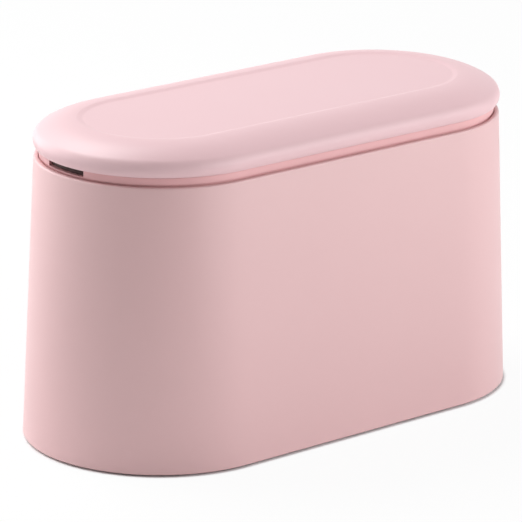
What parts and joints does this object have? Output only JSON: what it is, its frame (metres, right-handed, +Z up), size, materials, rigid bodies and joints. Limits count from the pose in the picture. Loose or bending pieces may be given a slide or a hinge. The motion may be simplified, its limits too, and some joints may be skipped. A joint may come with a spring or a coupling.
{
  "type": "desktop trash can",
  "caption": "Long round-ended desktop bin that widens to its foot, with a sprung hinged lid, a push-button latch and a collar that lifts out to change the bag.",
  "frame": {"origin": "on the table under the middle of the bin", "axes": "+Z up, +X along the bin from the button end to the hinge end, +Y across it"},
  "size_m": [0.2426, 0.1186, 0.1413],
  "materials": {
    "body_plastic": "satin pale pink moulded plastic",
    "lid_plastic": "satin pale pink moulded plastic",
    "collar_plastic": "satin rose pink moulded plastic",
    "button_plastic": "dark brown moulded plastic",
    "pad_rubber": "matt translucent grey rubber",
    "pin_steel": "drawn steel",
    "spring_steel": "drawn spring wire",
    "screw_steel": "zinc plated steel"
  },
  "bodies": {
    "bin": {"outer_shell": "body_plastic", "base_plate": "body_plastic", "foot_pads": "pad_rubber"},
    "collar": {"collar_ring": "collar_plastic", "latch_retainer": "collar_plastic", "latch_screws": "screw_steel", "hinge_pin": "pin_steel", "hinge_spring": "spring_steel", "button_spring": "spring_steel"},
    "button": {"latch_button": "button_plastic"},
    "lid": {"lid_cover": "lid_plastic", "lid_liner": "lid_plastic", "liner_screws": "screw_steel"}
  },
  "joints": [
    {"name": "collar_lift", "type": "slide", "parent": "bin", "child": "collar", "axis": [0, 0, 1], "range_m": [0, 0.03]},
    {"name": "lid_hinge", "type": "hinge", "parent": "collar", "child": "lid", "pos_m": [0.1085, 0, 0.1315], "axis": [0, 1, 0], "range_deg": [0, 85], "deforming": ["hinge_spring"]},
    {"name": "button_push", "type": "slide", "parent": "collar", "child": "button", "axis": [1, 0, 0], "range_m": [0, 0.002], "stiffness_N_per_m": 300, "springref_m": -0.001, "deforming": ["button_spring"]}
  ]
}
